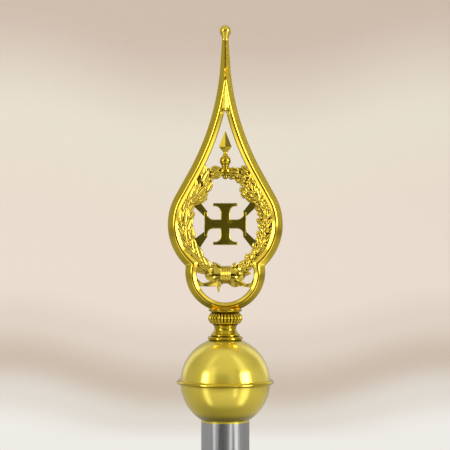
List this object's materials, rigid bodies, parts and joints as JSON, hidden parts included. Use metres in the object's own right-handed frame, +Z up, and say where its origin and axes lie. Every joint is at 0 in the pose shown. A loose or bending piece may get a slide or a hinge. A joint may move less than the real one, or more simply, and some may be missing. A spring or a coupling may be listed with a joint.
{
  "type": "flag pole head",
  "caption": "Gilt openwork spear-shaped flag pole head with a wreath and cross, on a hollow ball and a silver sleeve that clamps over the pole.",
  "frame": {"origin": "centre of the open bottom mouth of the silver pole sleeve", "axes": "+Z up along the pole, -Y towards the front of the flat openwork head, +X to the right seen from the front"},
  "size_m": [0.0834, 0.0706, 0.3672],
  "materials": {
    "gilt_casting": "polished gilt",
    "gilt_emblem": "mirror polished gilt",
    "gilt_ball": "satin polished gilt",
    "silver_sleeve": "bright polished",
    "zinc_steel": "zinc plated"
  },
  "bodies": {
    "sleeve": {"pole_sleeve": "silver_sleeve", "clamp_bosses": "silver_sleeve", "pole_plug": "zinc_steel", "plug_pins": "zinc_steel"},
    "ball": {"ball_upper_shell": "gilt_ball", "ball_lower_shell": "gilt_ball", "equator_ring": "gilt_ball", "crown_washer": "gilt_ball", "spacer_tube": "zinc_steel", "seat_ring": "gilt_ball"},
    "head": {"tie_rod": "zinc_steel", "spring_washer": "zinc_steel", "clamp_nut": "zinc_steel", "base_bead": "gilt_casting", "neck_spool": "gilt_casting", "fluted_collar": "gilt_casting", "spear_frame": "gilt_casting", "apex_knob": "gilt_casting", "spear_tip": "gilt_casting", "laurel_branch": "gilt_casting", "oak_branch": "gilt_casting", "emblem_cross": "gilt_emblem", "emblem_webs": "gilt_casting", "ribbon_bow": "gilt_casting", "ribbon_knot": "gilt_casting"},
    "screw_right": {"clamp_screw_right": "zinc_steel"},
    "screw_left": {"clamp_screw_left": "zinc_steel"}
  },
  "joints": [
    {"name": "head_lift", "type": "slide", "parent": "sleeve", "child": "ball", "axis": [0, 0, 1], "range_m": [0, 0.01801]},
    {"name": "head_turn", "type": "hinge", "parent": "ball", "child": "head", "pos_m": [0, 0, 0.1086], "axis": [0, 0, 1], "range_deg": [0, 4320]},
    {"name": "clamp_right", "type": "slide", "parent": "sleeve", "child": "screw_right", "axis": [-1, 0, 0], "range_m": [0, 0.0025]},
    {"name": "clamp_left", "type": "slide", "parent": "sleeve", "child": "screw_left", "axis": [1, 0, 0], "range_m": [0, 0.0025]}
  ],
  "couplings": [
    {"joint": "head_lift", "follows": "head_turn", "m_per_rad": 0.00023873}
  ]
}
